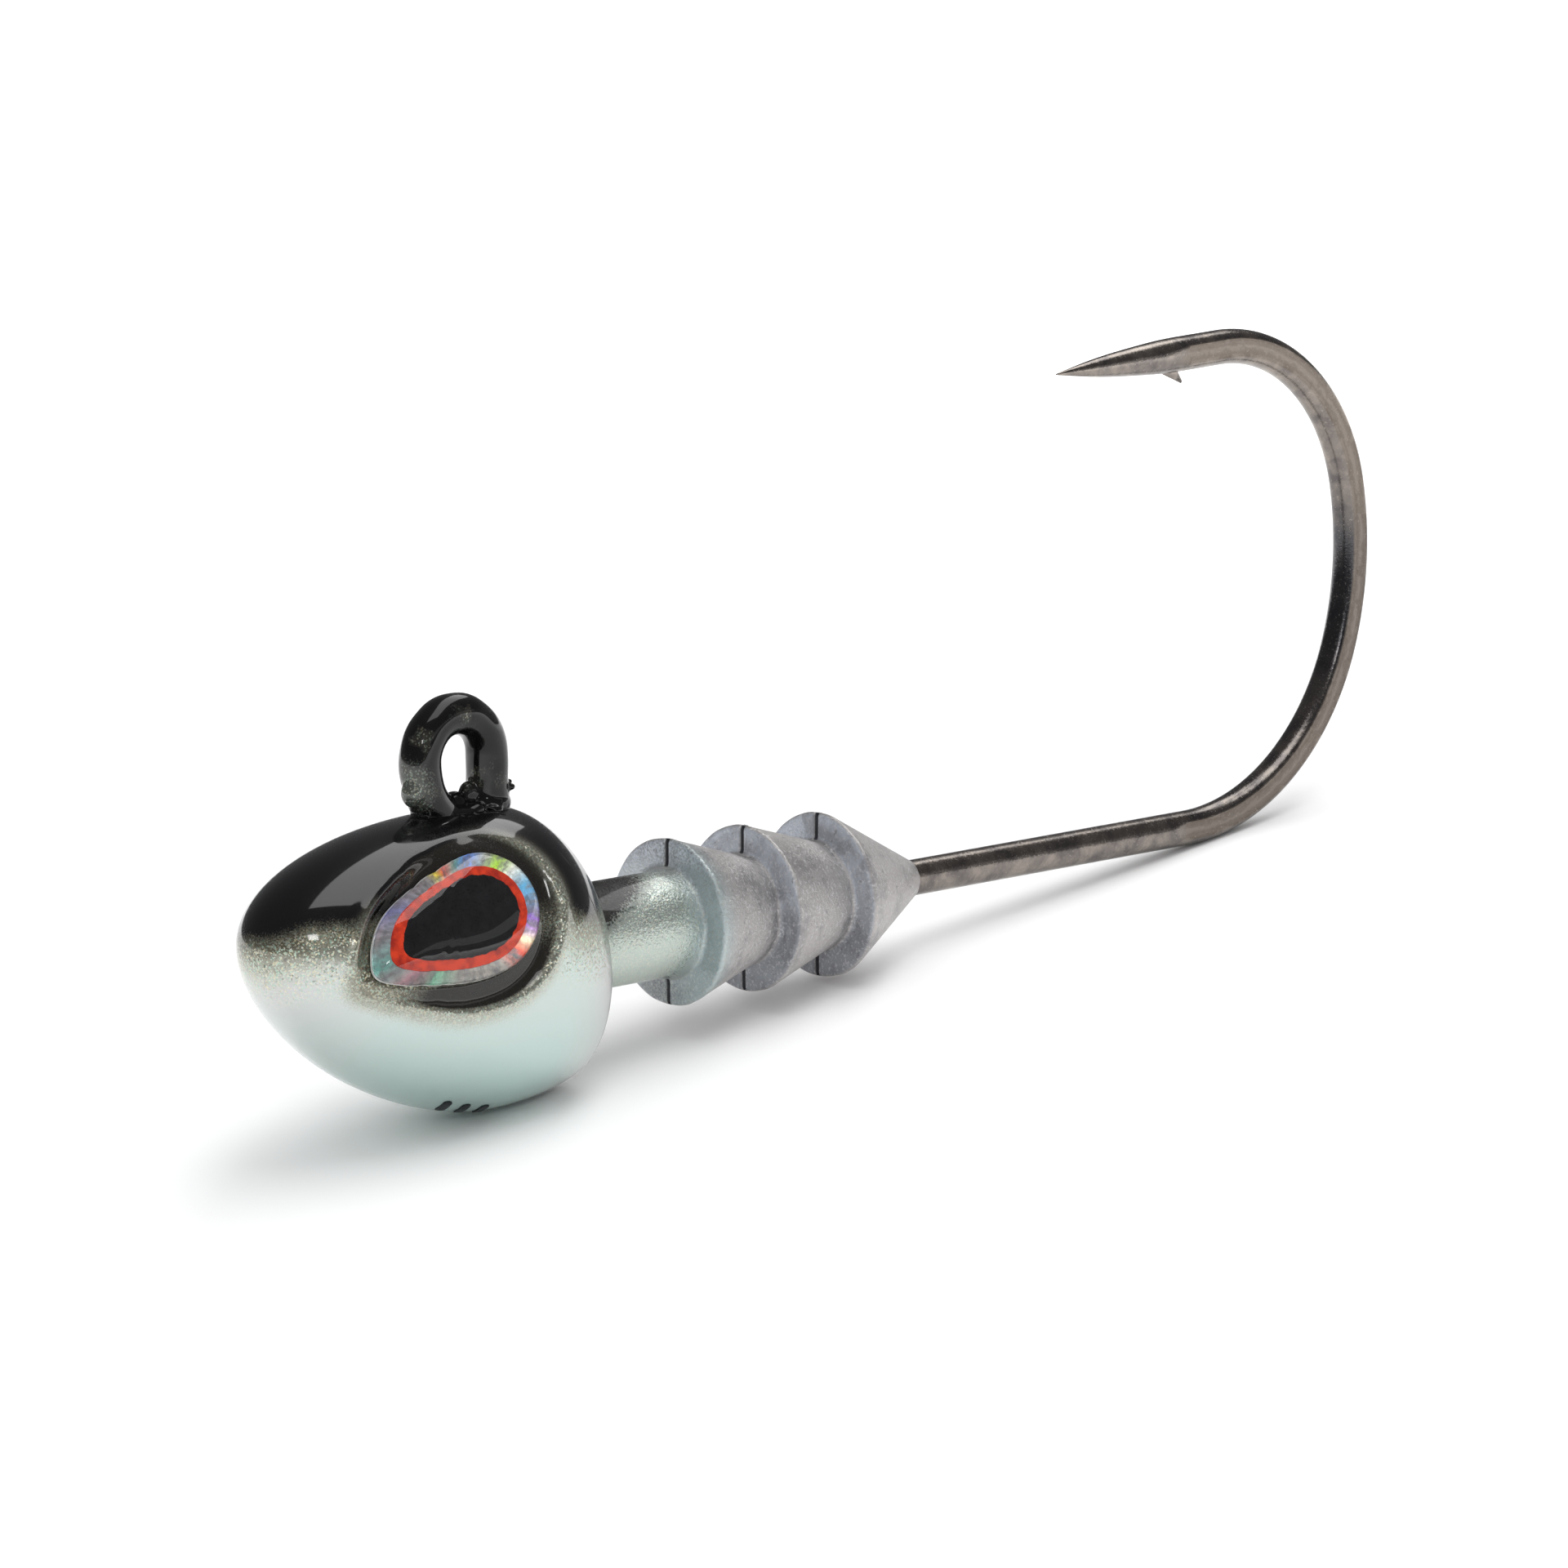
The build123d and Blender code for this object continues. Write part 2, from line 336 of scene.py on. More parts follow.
def socketPlace(spot):
    side = -1 if spot.y < 0 else 1
    offset = Vector((spot.x, -abs(spot.y), spot.z)) - seatMiddle
    across, up, out = offset.dot(seatRun), offset.dot(seatUp), offset.dot(seatFacing)
    if out < socketShape["behind"] or hypot(across, up) > socketShape["reach"]:
        return spot, (0.0, 0.0, 0.0)
    angle = atan2(up, across)
    beyond = hypot(across, up) - stickerReach(angle)
    width = byDirection("rim", angle)
    share = (beyond - socketShape["flat"]) / (width - socketShape["flat"])
    shade = 1 - smooth(beyond, 0.6 * width, width + 0.8)
    # painted shade: how dark the trench is here
    trenchShade = byDirection("trenchShade", angle) * smooth(share, -0.4, 0.1) * (1 - smooth(share, 0.65, 1.0))
    # the rim's flakes, with a painted highlight
    rimGlitterAndHighlight = byDirection("rimGlitterAndHighlight", angle) * exp(-(((share - 1.04) / 0.34) ** 2))
    if share < 1:
        within = max(0.0, share)
        out = socketShape["floor"] + (out - socketShape["floor"]) * smooth(within, 0, 1)
        out -= byDirection("trench", angle) * sin(pi * within)
    out += socketShape["ridge"] * (0.2 + 0.8 * byDirection("rimGlitterAndHighlight", angle)) * exp(-(((share - 1.05) / 0.28) ** 2))
    moved = seatMiddle + seatRun * across + seatUp * up + seatFacing * out
    moved.y *= -side
    return moved, (shade, trenchShade, rimGlitterAndHighlight)


def makeHead(material):
    bm = bmesh.new()
    bmesh.ops.create_uvsphere(bm, u_segments=headShape["segments"], v_segments=headShape["rings"], radius=1)
    for vertex in bm.verts:
        share = acos(max(-1.0, min(1.0, -vertex.co.z))) / pi
        vertex.co = headPlace(share, atan2(vertex.co.y, vertex.co.x))
    nearRim = []
    layers = [bm.verts.layers.float.new(name) for name in ("shade", "trenchShade", "rimGlitterAndHighlight")]
    for vertex in bm.verts:
        vertex.co, values = socketPlace(vertex.co)
        for layer, value in zip(layers, values):
            vertex[layer] = value
        if values[0] > 0.05:
            nearRim.append(vertex)
    for _ in range(3):
        bmesh.ops.smooth_vert(bm, verts=nearRim, factor=0.5, use_axis_x=True, use_axis_y=True, use_axis_z=True)
    return finishPiece("headLacquer", bm, ["head_lacquer"], material)


headPaint = {
    "black": (0.003, 0.003, 0.0034), "olive": (0.195, 0.18, 0.13), "silver": (0.48, 0.495, 0.44),
    "pearl": (0.60, 0.675, 0.65), "mint": (0.525, 0.68, 0.64), "rose": (0.63, 0.595, 0.60),
    # the trench's near-black is painted shade
    "trenchShade": (0.012, 0.0105, 0.008),
    "blackFrom": 1.95, "blackTo": 2.7, "sprayFrom": 0.7, "sprayTo": 2.1,  # heights where the sprayed coats fade in
}


def makeLacquer():
    p = headPaint
    material, tree, shader = newMaterial("lacquerPearl")
    place = objectPlace(tree)
    x = jigCoordinate(tree, place, shankAlong)
    z = jigCoordinate(tree, place, shankUp)
    shade, trenchShade, rimGlitterAndHighlight = (attribute(tree, name) for name in ("shade", "trenchShade", "rimGlitterAndHighlight"))
    speckle = noiseValue(tree, place, 19000, 2.0, 0.7)
    height = jitter(tree, z, noiseValue(tree, place, 1100, 3.0), 0.35)
    height = plus(tree, height, span(tree, x, -9.5, -7.4, 0.0, 0.75))
    height = plus(tree, height, span(tree, x, -17.7, -18.9, 0.0, 0.5))
    grainy = jitter(tree, height, speckle, 0.8)
    around = span(tree, jitter(tree, shade, speckle, 0.9), 0.15, 0.9)
    overspray = maths(tree, "MAXIMUM", span(tree, grainy, p["sprayFrom"], p["sprayTo"]), around)
    cover = span(tree, grainy, p["blackFrom"], p["blackTo"])
    # painted highlight: the black gives way on the rim
    cover = times(tree, cover, maths(tree, "SUBTRACT", 1.0, times(tree, rimGlitterAndHighlight, 0.9)))
    tone = noiseValue(tree, place, 260, 1.0)
    belly = mixColour(tree, span(tree, z, -0.5, -4.5), p["pearl"], p["mint"])
    for low, high in ((-15.5, -18.8), (-8.4, -6.2)):  # the nose and the back turn rosy
        belly = mixColour(tree, times(tree, span(tree, x, low, high), 0.8), belly, p["rose"])
    belly = mixColour(tree, times(tree, span(tree, tone, 0.35, 0.65), 0.3), belly, p["mint"])
    spray = mixColour(tree, span(tree, overspray, 0.0, 0.5), belly, p["silver"])
    spray = mixColour(tree, span(tree, overspray, 0.35, 1.0), spray, p["olive"])
    flake = useGroup(tree, flakes, Place=place, Scale=19000.0, Density=0.5)
    band = times(tree, span(tree, height, -0.4, 0.8), span(tree, height, 2.9, 2.1))
    band = maths(tree, "MAXIMUM", band, maths(tree, "MAXIMUM", times(tree, around, 0.7), rimGlitterAndHighlight))
    glitter = times(tree, flake["Mask"], band)
    spray = mixColour(tree, times(tree, glitter, 0.55), spray, flake["Tint"])
    # painted highlight: the rim turns silver
    spray = mixColour(tree, times(tree, rimGlitterAndHighlight, 0.35), spray, p["silver"])
    colour = mixColour(tree, cover, spray, p["black"])
    # painted shade: the trench round the eye goes near black and loses its metal
    trenchShaded = span(tree, jitter(tree, trenchShade, speckle, 0.5), 0.15, 0.75)
    colour = mixColour(tree, trenchShaded, colour, p["trenchShade"])
    bare = times(tree, maths(tree, "SUBTRACT", 1.0, cover), maths(tree, "SUBTRACT", 1.0, trenchShaded))
    feed(tree, shader, "Base Color", colour)
    feed(tree, shader, "Metallic", times(tree, bare, 0.88))
    feed(tree, shader, "Roughness", mixValue(tree, overspray, 0.40, 0.30))
    feed(tree, shader, "Normal", tipped(tree, flake["Tip"], plus(tree, glitter, 0.08), 0.75))
    shader.inputs["Specular IOR Level"].default_value = 0.05
    shader.inputs["Coat Weight"].default_value = 1.0
    shader.inputs["Coat Roughness"].default_value = 0.06
    shader.inputs["Coat IOR"].default_value = 1.5
    return material


makeHead(makeLacquer())
print("head built")


wireSettings = {
    "radius": 0.66, "segments": 48,
    "start": (-10.10, 4.72), "heading": 148,  # where the line tie's cut end sits in the head
    "route": (  # radius and turn in degrees, or a straight length; then how many steps
        ("turn", 2.72, -58, 14), ("turn", 1.52, -180, 40), ("run", 5.15, 0, 10), ("turn", 1.88, 90, 20),
        ("run", 33.18, 0, 120), ("turn", 9.11, 71.3, 90), ("turn", 11.91, 30.6, 50), ("turn", 7.13, 80.1, 90),
        ("run", 2.09, 0, 10),
    ),
    "needle": ((0.5, 0.655), (1.0, 0.64), (1.5, 0.615), (2.0, 0.58), (2.6, 0.535), (3.2, 0.485), (3.8, 0.43),
               (4.4, 0.365), (4.9, 0.30), (5.4, 0.225), (5.8, 0.16), (6.15, 0.105), (6.45, 0.055), (6.64, 0.02)),
    "flatStart": 25.4, "flatRun": 1.1, "flatHalf": 0.55, "flatEdge": 0.012, "crisp": 0.6,
    "barb": {
        "length": 1.1, "foot": 0.40, "tip": 0.06, "thickness": 0.45, "place": 0.33, "drop": 0.705, "lean": 50,
    },
}


def sweepWire(bm, radius, segments, start, heading, route):
    spread = bm.verts.layers.float.new("spread")  # how far out from the wire's middle, carried along the sweep
    circle = bmesh.ops.create_circle(bm, cap_ends=False, segments=segments, radius=radius)
    for vertex in circle["verts"]:
        vertex[spread] = vertex.co.x / radius
    place = Vector((start[0], 0, start[1]))
    angle = radians(heading)
    facing = Matrix.Rotation(pi / 2 - angle, 4, "Y")  # the circle faces z before, and the heading after
    bmesh.ops.transform(bm, matrix=Matrix.Translation(place) @ facing, verts=circle["verts"])
    first = list({e for v in circle["verts"] for e in v.link_edges})
    ring = circle["verts"] + first
    for kind, size, turn, steps in route:
        direction = Vector((cos(angle), 0, sin(angle)))
        if kind == "turn":
            normal = Vector((-sin(angle), 0, cos(angle))) * (1 if turn > 0 else -1)
            middle = place + normal * size
            grown = bmesh.ops.spin(bm, geom=ring, cent=middle, axis=(0, -1, 0), angle=radians(turn), steps=steps)
            place = middle + Matrix.Rotation(radians(turn), 3, (0, -1, 0)) @ (place - middle)
            angle += radians(turn)
        else:
            grown = bmesh.ops.spin(
                bm, geom=ring, cent=place, axis=(0, -1, 0), dvec=direction * size / steps, angle=0, steps=steps)
            place = place + direction * size
        ring = grown["geom_last"]
    return first, ring, place, angle


def onlyVerts(geometry):
    return [g for g in geometry if isinstance(g, bmesh.types.BMVert)]


def onlyEdges(geometry):
    return [g for g in geometry if isinstance(g, bmesh.types.BMEdge)]


def closeRing(bm, ring):
    bmesh.ops.contextual_create(bm, geom=onlyEdges(ring))


def makeHook(material):
    bm = bmesh.new()
    w = wireSettings
    first, ring, place, angle = sweepWire(bm, w["radius"], w["segments"], w["start"], w["heading"], w["route"])
    closeRing(bm, first)
    direction = Vector((cos(angle), 0, sin(angle)))
    reached, size = 0.0, w["radius"]
    for station, radius in w["needle"]:
        grown = bmesh.ops.extrude_edge_only(bm, edges=onlyEdges(ring))["geom"]
        verts = onlyVerts(grown)
        bmesh.ops.translate(bm, verts=verts, vec=direction * (station - reached))
        middle = Matrix.Translation(-(place + direction * station))
        bmesh.ops.scale(bm, verts=verts, vec=(radius / size,) * 3, space=middle)
        ring = [g for g in grown if not isinstance(g, bmesh.types.BMFace)]
        reached, size = station, radius
    closeRing(bm, ring)
    forged = bm.verts.layers.float.new("forged")
    for vertex in bm.verts:
        share = smooth(vertex.co.x, w["flatStart"], w["flatStart"] + w["flatRun"])
        limit = w["radius"] + (w["flatHalf"] - w["radius"]) * share
        if share > 0 and abs(vertex.co.y) > limit - w["flatEdge"]:
            vertex[forged] = share
            vertex.co.y = max(-limit, min(limit, vertex.co.y))
    for edge in bm.edges:  # the forged flats end in a crisp line
        flat = [all(v[forged] > w["crisp"] for v in f.verts) for f in edge.link_faces]
        if len(flat) == 2 and flat[0] != flat[1] and all(v[forged] > w["crisp"] for v in edge.verts):
            edge.smooth = False
    b = w["barb"]
    cone = bmesh.ops.create_cone(
        bm, cap_ends=True, segments=20, radius1=b["foot"], radius2=b["tip"], depth=b["length"])
    bmesh.ops.scale(bm, verts=cone["verts"], vec=(1, b["thickness"], 1))
    seat = place + direction * b["place"] - Vector((0, 0, b["drop"]))
    leaning = Matrix.Translation(seat) @ Matrix.Rotation(radians(180 - b["lean"]), 4, "Y")
    bmesh.ops.transform(bm, matrix=leaning, verts=cone["verts"])
    return finishPiece("hookWire", bm, ["hook"], material)


nickelFinish = {
    "light": (0.33, 0.29, 0.255), "dark": (0.15, 0.135, 0.13), "forged": (0.145, 0.115, 0.09),
    "worn": (0.50, 0.45, 0.40), "bendShade": (0.05, 0.053, 0.062),  # a painted shade darkens the inside of the lower bend
    "roughness": 0.20, "forgedRoughness": 0.46,
}


def makeNickel():
    material, tree, shader = newMaterial("blackNickel")
    place = objectPlace(tree)
    marks = useGroup(tree, grain, Place=place, Grain=9500.0, Blotch=1100.0)
    forged, spread = attribute(tree, "forged"), attribute(tree, "spread")
    along, up = (jigCoordinate(tree, place, axis) for axis in (shankAlong, shankUp))
    colour = mixColour(tree, span(tree, marks["Broad"], 0.35, 0.65), nickelFinish["dark"], nickelFinish["light"])
    drawnOut = {0: times(tree, spread, 1.3), 1: times(tree, marks["Broad"], 2.2), 2: 0.0}
    streak = noiseValue(tree, node(tree, "ShaderNodeCombineXYZ", drawnOut).outputs[0], 1.5, 3.0)
    streak = span(tree, streak, 0.32, 0.66)
    drawn = mixColour(tree, streak, nickelFinish["forged"], nickelFinish["light"])
    # painted shade inside the lower bend
    bendShade = times(tree, span(tree, along, 24.0, 27.0), span(tree, up, 12.8, 10.2))
    bendShade = times(tree, bendShade, span(tree, up, 3.0, 6.5, 0.35, 1.0))
    colour = mixColour(tree, times(tree, bendShade, 0.85), colour, nickelFinish["bendShade"])
    colour = mixColour(tree, times(tree, forged, 0.8), colour, drawn)
    spots = span(tree, marks["Fine"], 0.60, 0.72)
    colour = mixColour(tree, times(tree, spots, 0.5), colour, nickelFinish["worn"])
    feed(tree, shader, "Base Color", colour)
    shader.inputs["Metallic"].default_value = 1.0
    rough = mixValue(tree, forged, nickelFinish["roughness"], nickelFinish["forgedRoughness"])
    feed(tree, shader, "Roughness", plus(tree, rough, span(tree, marks["Fine"], 0.3, 0.7, -0.07, 0.09)))
    feed(tree, shader, "Normal", bumped(tree, marks["Height"], 0.35, 0.00002))
    return material


makeHook(makeNickel())
print("hook built")


keeperShape = {
    "neck": 1.9, "barb": 3.0, "pitch": 3.66, "count": 3, "tail": 4.55, "tailRadius": 0.71,
    "start": -7.2, "neckEnd": -0.6,  # the neck begins inside the head
    "hollow": ((-0.2, 0.09), (-0.08, 0.11), (-0.02, 0.18), (0.0, 0.28), (0.0, 0.34)),  # along, out from the neck
    "rim": (  # along, in from the barb's radius
        (0.0, 0.22), (0.0, 0.15), (0.03, 0.07), (0.09, 0.015), (0.16, 0.01), (0.25, 0.045),
    ),
    "steps": 180, "grooveHalf": 0.115, "grooveDepth": 0.14, "grooveFacing": 0.45, "grooveClear": 0.12,
    "dent": 0.045, "pit": 0.016,
}


def makeKeeper(material):
    k = keeperShape
    bm = bmesh.new()
    grooveShade = bm.verts.layers.float.new("grooveShade")
    profile = [(k["start"], 0.0), (k["start"], k["neck"]), (k["neckEnd"], k["neck"])]
    for barb in range(k["count"]):
        front = barb * k["pitch"]
        profile += [(front + x, k["neck"] + r) for x, r in k["hollow"]]
        profile += [(front + x, k["barb"] - r) for x, r in k["rim"]]
    end, radius = front + k["tail"], k["tailRadius"]
    profile += [(end - 0.06, radius + 0.02), (end, radius - 0.05), (end, 0.0)]
    verts = [bm.verts.new((x, 0, r)) for x, r in profile]
    edges = [bm.edges.new(pair) for pair in zip(verts, verts[1:])]
    bmesh.ops.spin(
        bm, geom=verts + edges, cent=(0, 0, 0), axis=(1, 0, 0), angle=2 * pi, steps=k["steps"], use_merge=True)
    bmesh.ops.remove_doubles(bm, verts=bm.verts, dist=1e-5)
    bmesh.ops.recalc_face_normals(bm, faces=bm.faces)
    # the mould's parting line opens as a narrow groove down each front face
    for side in (-1, 1):
        whole = bm.verts[:] + bm.edges[:] + bm.faces[:]
        cut = (0, side * k["grooveHalf"], 0)
        bmesh.ops.bisect_plane(bm, geom=whole, plane_co=cut, plane_no=(0, 1, 0), dist=1e-6)
    bm.normal_update()
    strip = []
    for face in bm.faces:
        middle = face.calc_center_median()
        forward = middle.x > -0.5 and face.normal.x < -k["grooveFacing"]
        if forward and abs(middle.y) < k["grooveHalf"] and abs(middle.z) > k["neck"] + k["grooveClear"]:
            strip.append(face)
    grown = bmesh.ops.extrude_face_region(bm, geom=strip)["geom"]
    bmesh.ops.delete(bm, geom=strip, context="FACES")
    floor = onlyVerts(grown)
    bmesh.ops.translate(bm, verts=floor, vec=(k["grooveDepth"], 0, 0))
    for vertex in floor:
        vertex[grooveShade] = 1.0
    # the casting isn't true: dents, slumps and a slight swell, all under a tenth of a millimetre
    for vertex in bm.verts:
        reach = hypot(vertex.co.y, vertex.co.z)
        if reach > 0.4 and vertex.co.x > -5:
            push = wobble(vertex.co, 1.3) * k["dent"] + wobble(vertex.co, 0.45, 3.0) * k["pit"]
            vertex.co += Vector((push * 0.7, vertex.co.y / reach * push, vertex.co.z / reach * push))
    return finishPiece("keeperCasting", bm, ["casting"], material)


alloyFinish = {
    # front faces are painted lighter and bluer than the cones as painted reflection, and darker lower down as painted
    # shade
    "face": (0.60, 0.64, 0.71), "faceShade": (0.36, 0.375, 0.41), "cone": (0.52, 0.50, 0.49),
    "stain": (0.20, 0.195, 0.21), "fleck": (0.85, 0.85, 0.86), "grooveShade": (0.045, 0.047, 0.055),
    "teal": (0.50, 0.68, 0.70), "neck": (0.52, 0.58, 0.545), "dark": (0.008, 0.0075, 0.006),
}


def makeAlloy():
    material, tree, shader = newMaterial("leadAlloy")
    place = objectPlace(tree)
    x = jigCoordinate(tree, place, shankAlong)
    z = jigCoordinate(tree, place, shankUp)
    marks = useGroup(tree, grain, Place=place, Grain=8500.0, Blotch=750.0)
    normal = node(tree, "ShaderNodeTexCoord").outputs["Normal"]
    # the front faces get a painted reflection, lighter and bluer than the cones, and painted shade towards the bottom
    facing = vectorMaths(tree, "DOT_PRODUCT", "Value", {0: normal, 1: tuple(-shankAlong)})
    front = span(tree, facing, 0.55, 0.9)
    face = mixColour(tree, span(tree, z, 1.6, -1.6), alloyFinish["face"], alloyFinish["faceShade"])
    bare = mixColour(tree, front, alloyFinish["cone"], face)
    stains = span(tree, marks["Broad"], 0.50, 0.68)
    bare = mixColour(tree, times(tree, stains, 0.55), bare, alloyFinish["stain"])
    pits = span(tree, noiseValue(tree, place, 3400, 4.0, 0.7, 0.5), 0.60, 0.68)
    bare = mixColour(tree, times(tree, pits, 0.55), bare, alloyFinish["stain"])
    flecks = span(tree, marks["Fine"], 0.52, 0.66)
    bare = mixColour(tree, times(tree, flecks, 0.5), bare, alloyFinish["fleck"])
    # painted shade: the groove floor is painted near black and loses its metal
    line = span(tree, attribute(tree, "grooveShade"), 0.2, 0.6)
    # paint reaches along the neck and drifts on to the first barb
    flake = useGroup(tree, flakes, Place=place, Scale=24000.0, Density=0.45)
    speckle = noiseValue(tree, place, 12000, 1.0)
    drift = jitter(tree, x, speckle, 2.0)
    painted = span(tree, drift, 0.15, -0.8)
    y = jigCoordinate(tree, place, Vector((0, 1, 0)))
    dusted = jitter(tree, y, speckle, 2.5)
    teal = times(tree, span(tree, drift, 1.1, 0.0), span(tree, dusted, 0.6, -1.6))
    teal = times(tree, teal, span(tree, speckle, 0.36, 0.58, 0.25, 1.0))
    shade = jitter(tree, z, speckle, 0.9)
    shade = maths(tree, "SUBTRACT", shade, span(tree, x, -4.4, -1.0, 0.0, 1.45))
    black = span(tree, shade, 0.25, 0.85)
    coat = mixColour(tree, times(tree, flake["Mask"], 0.4), alloyFinish["neck"], flake["Tint"])
    coat = mixColour(tree, black, coat, alloyFinish["dark"])
    bare = mixColour(tree, times(tree, teal, 0.6), bare, alloyFinish["teal"])
    colour = mixColour(tree, painted, bare, coat)
    colour = mixColour(tree, line, colour, alloyFinish["grooveShade"])
    feed(tree, shader, "Base Color", colour)
    metal = mixValue(tree, painted, mixValue(tree, front, 0.82, 0.62), mixValue(tree, black, 0.88, 0.1))
    feed(tree, shader, "Metallic", mixValue(tree, line, metal, 0.0))
    rough = span(tree, marks["Fine"], 0.3, 0.7, 0.36, 0.58)
    feed(tree, shader, "Roughness", mixValue(tree, painted, rough, 0.27))
    feed(tree, shader, "Coat Weight", times(tree, painted, 0.8))
    shader.inputs["Coat Roughness"].default_value = 0.08
    glitter = plus(tree, times(tree, painted, times(tree, flake["Mask"], 0.5)), 0.12)
    tip = tipped(tree, flake["Tip"], glitter, 0.5)
    feed(tree, shader, "Normal", bumped(tree, marks["Height"], 0.9, 0.00005, Normal=tip))
    return material


makeKeeper(makeAlloy())
print("keeper built")


tieShape = {
    "radius": 0.735, "segments": 32, "voxel": 0.055, "smoothing": 8, "raise": 0.06, "uneven": 0.035,
    "route": (("turn", 2.72, -58, 14), ("turn", 1.52, -180, 48), ("run", 2.4, 0, 8)),  # the wire's own, cut short
    "blobs": (  # middle and half sizes of the pooled lacquer
        ((-11.85, -0.1, 6.1), (0.36, 0.44, 0.52)), ((-9.9, 0.0, 5.15), (1.95, 0.85, 0.42)),
        ((-8.35, 0.0, 5.35), (0.85, 0.8, 0.6)), ((-9.2, 0.0, 5.75), (0.40, 0.30, 0.45)),
        ((-10.75, 0.0, 5.55), (0.7, 0.62, 0.5)), ((-9.9, 0.0, 5.5), (0.55, 0.42, 0.42)),
        ((-9.35, -0.45, 5.3), (0.36, 0.40, 0.26)), ((-8.6, -0.65, 5.2), (0.28, 0.34, 0.22)),
    ),
    "crumbs": ((-7.56, -0.3, 6.02), (-7.5, -0.05, 6.16), (-7.54, -0.4, 5.8), (-7.7, -0.55, 5.88), (-7.62, -0.2, 5.62),
               (-9.0, -0.8, 5.36), (-8.8, -0.8, 5.3)),
    "crumbSize": 0.11,
}


def makeLineTie(material):
    t, w = tieShape, wireSettings
    bm = bmesh.new()
    first, ring, _, _ = sweepWire(bm, t["radius"], t["segments"], w["start"], w["heading"], t["route"])
    closeRing(bm, first)
    closeRing(bm, ring)
    bmesh.ops.translate(bm, verts=bm.verts, vec=(0, 0, t["raise"]))
    for middle, half in t["blobs"]:
        ball = bmesh.ops.create_uvsphere(bm, u_segments=24, v_segments=16, radius=1)
        bmesh.ops.scale(bm, verts=ball["verts"], vec=half)
        bmesh.ops.translate(bm, verts=ball["verts"], vec=middle)
    for place in t["crumbs"]:
        crumb = bmesh.ops.create_icosphere(bm, subdivisions=1, radius=t["crumbSize"] * (1 + wobble(place, 0.3)))
        bmesh.ops.translate(bm, verts=crumb["verts"], vec=place)
    bmesh.ops.recalc_face_normals(bm, faces=bm.faces)
    rough = bpy.data.meshes.new("tieRough")
    bm.to_mesh(rough)
    bm.free()
    shell = bpy.data.objects.new("tieShell", rough)
    scene.collection.objects.link(shell)
    remesh = shell.modifiers.new("fuse", "REMESH")
    remesh.mode, remesh.voxel_size = "VOXEL", t["voxel"]
    relax = shell.modifiers.new("relax", "SMOOTH")
    relax.factor, relax.iterations = 0.5, t["smoothing"]
    fused = bpy.data.meshes.new_from_object(shell.evaluated_get(bpy.context.evaluated_depsgraph_get()))
    bpy.data.objects.remove(shell)
    bm = bmesh.new()
    bm.from_mesh(fused)
    for vertex in bm.verts:
        vertex.co += vertex.normal * wobble(vertex.co, 0.9, 5.0) * t["uneven"]
    return finishPiece("lineTieLacquer", bm, ["line_tie_lacquer"], material)


tiePaint = {
    "black": (0.003, 0.003, 0.0032), "haze": (0.055, 0.053, 0.044), "pearl": (0.13, 0.14, 0.125),
    "bulge": (-12.3, -0.4, 6.2),  # the middle of the pearly patch
}


def makeTieLacquer():
    material, tree, shader = newMaterial("lacquerBlack")
    place = objectPlace(tree)
    cloud = noiseValue(tree, place, 900, 2.0, 0.5, 0.6)
    speckle = noiseValue(tree, place, 14000, 1.0)
    middle = toRow @ Vector(tiePaint["bulge"])
    distance = vectorMaths(tree, "DISTANCE", "Value", {0: place, 1: tuple(middle)})
    distance = jitter(tree, times(tree, distance, 1000), speckle, 0.8)
    bulge = span(tree, distance, 1.15, 0.2)
    haze = span(tree, jitter(tree, cloud, speckle, 0.12), 0.54, 0.76)
    haze = times(tree, haze, span(tree, jigCoordinate(tree, place, shankUp), 5.8, 6.4))
    colour = mixColour(tree, times(tree, haze, 0.75), tiePaint["black"], tiePaint["haze"])
    colour = mixColour(tree, times(tree, bulge, 0.9), colour, tiePaint["pearl"])
    flake = useGroup(tree, flakes, Place=place, Scale=19000.0, Density=0.25)
    glitter = times(tree, flake["Mask"], maths(tree, "MAXIMUM", bulge, times(tree, haze, 0.6)))
    colour = mixColour(tree, times(tree, glitter, 0.35), colour, flake["Tint"])
    feed(tree, shader, "Base Color", colour)
    feed(tree, shader, "Metallic", times(tree, maths(tree, "MAXIMUM", bulge, haze), 0.7))
    shader.inputs["Roughness"].default_value = 0.36
    shader.inputs["Specular IOR Level"].default_value = 0.05
    feed(tree, shader, "Normal", tipped(tree, flake["Tip"], glitter, 0.4))
    shader.inputs["Coat Weight"].default_value = 1.0
    shader.inputs["Coat Roughness"].default_value = 0.035
    shader.inputs["Coat IOR"].default_value = 1.38
    return material


makeLineTie(makeTieLacquer())
print("line tie built")


eyeBuild = {
    "adhesive": 0.08, "foil": 0.10, "ink": 0.03, "segments": 120,
    "sticker": (1.0, 1.0, 0.0, 0.0), "foilShare": (0.98, 0.97, 0.0, 0.0),  # shares along and up, then the shift
    "irisShare": (0.79, 0.745, 0.03, 0.0), "pupilShare": (0.67, 0.605, 0.13, 0.03),
    "irisRagged": 0.02, "pupilRagged": 0.075,
    "sunk": 0.06, "rimHeight": 0.16, "rimPower": 14, "domeRise": 0.68, "domePower": 2.6, "rings": 56,
}


def seatPlace(across, up, out, side):
    spot = seatMiddle + seatRun * across + seatUp * up + seatFacing * out
    spot.y *= -side
    return spot


def uneven(angle, count):
    return wobble((cos(angle) * count, sin(angle) * count, 0), 1.0)


def stickerShare(angle, share, ragged):
    reach = stickerReach(angle) + ragged * (uneven(angle, 9) + 0.5 * uneven(angle, 30))
    return reach * cos(angle) * share[0] + share[2], reach * sin(angle) * share[1] + share[3]


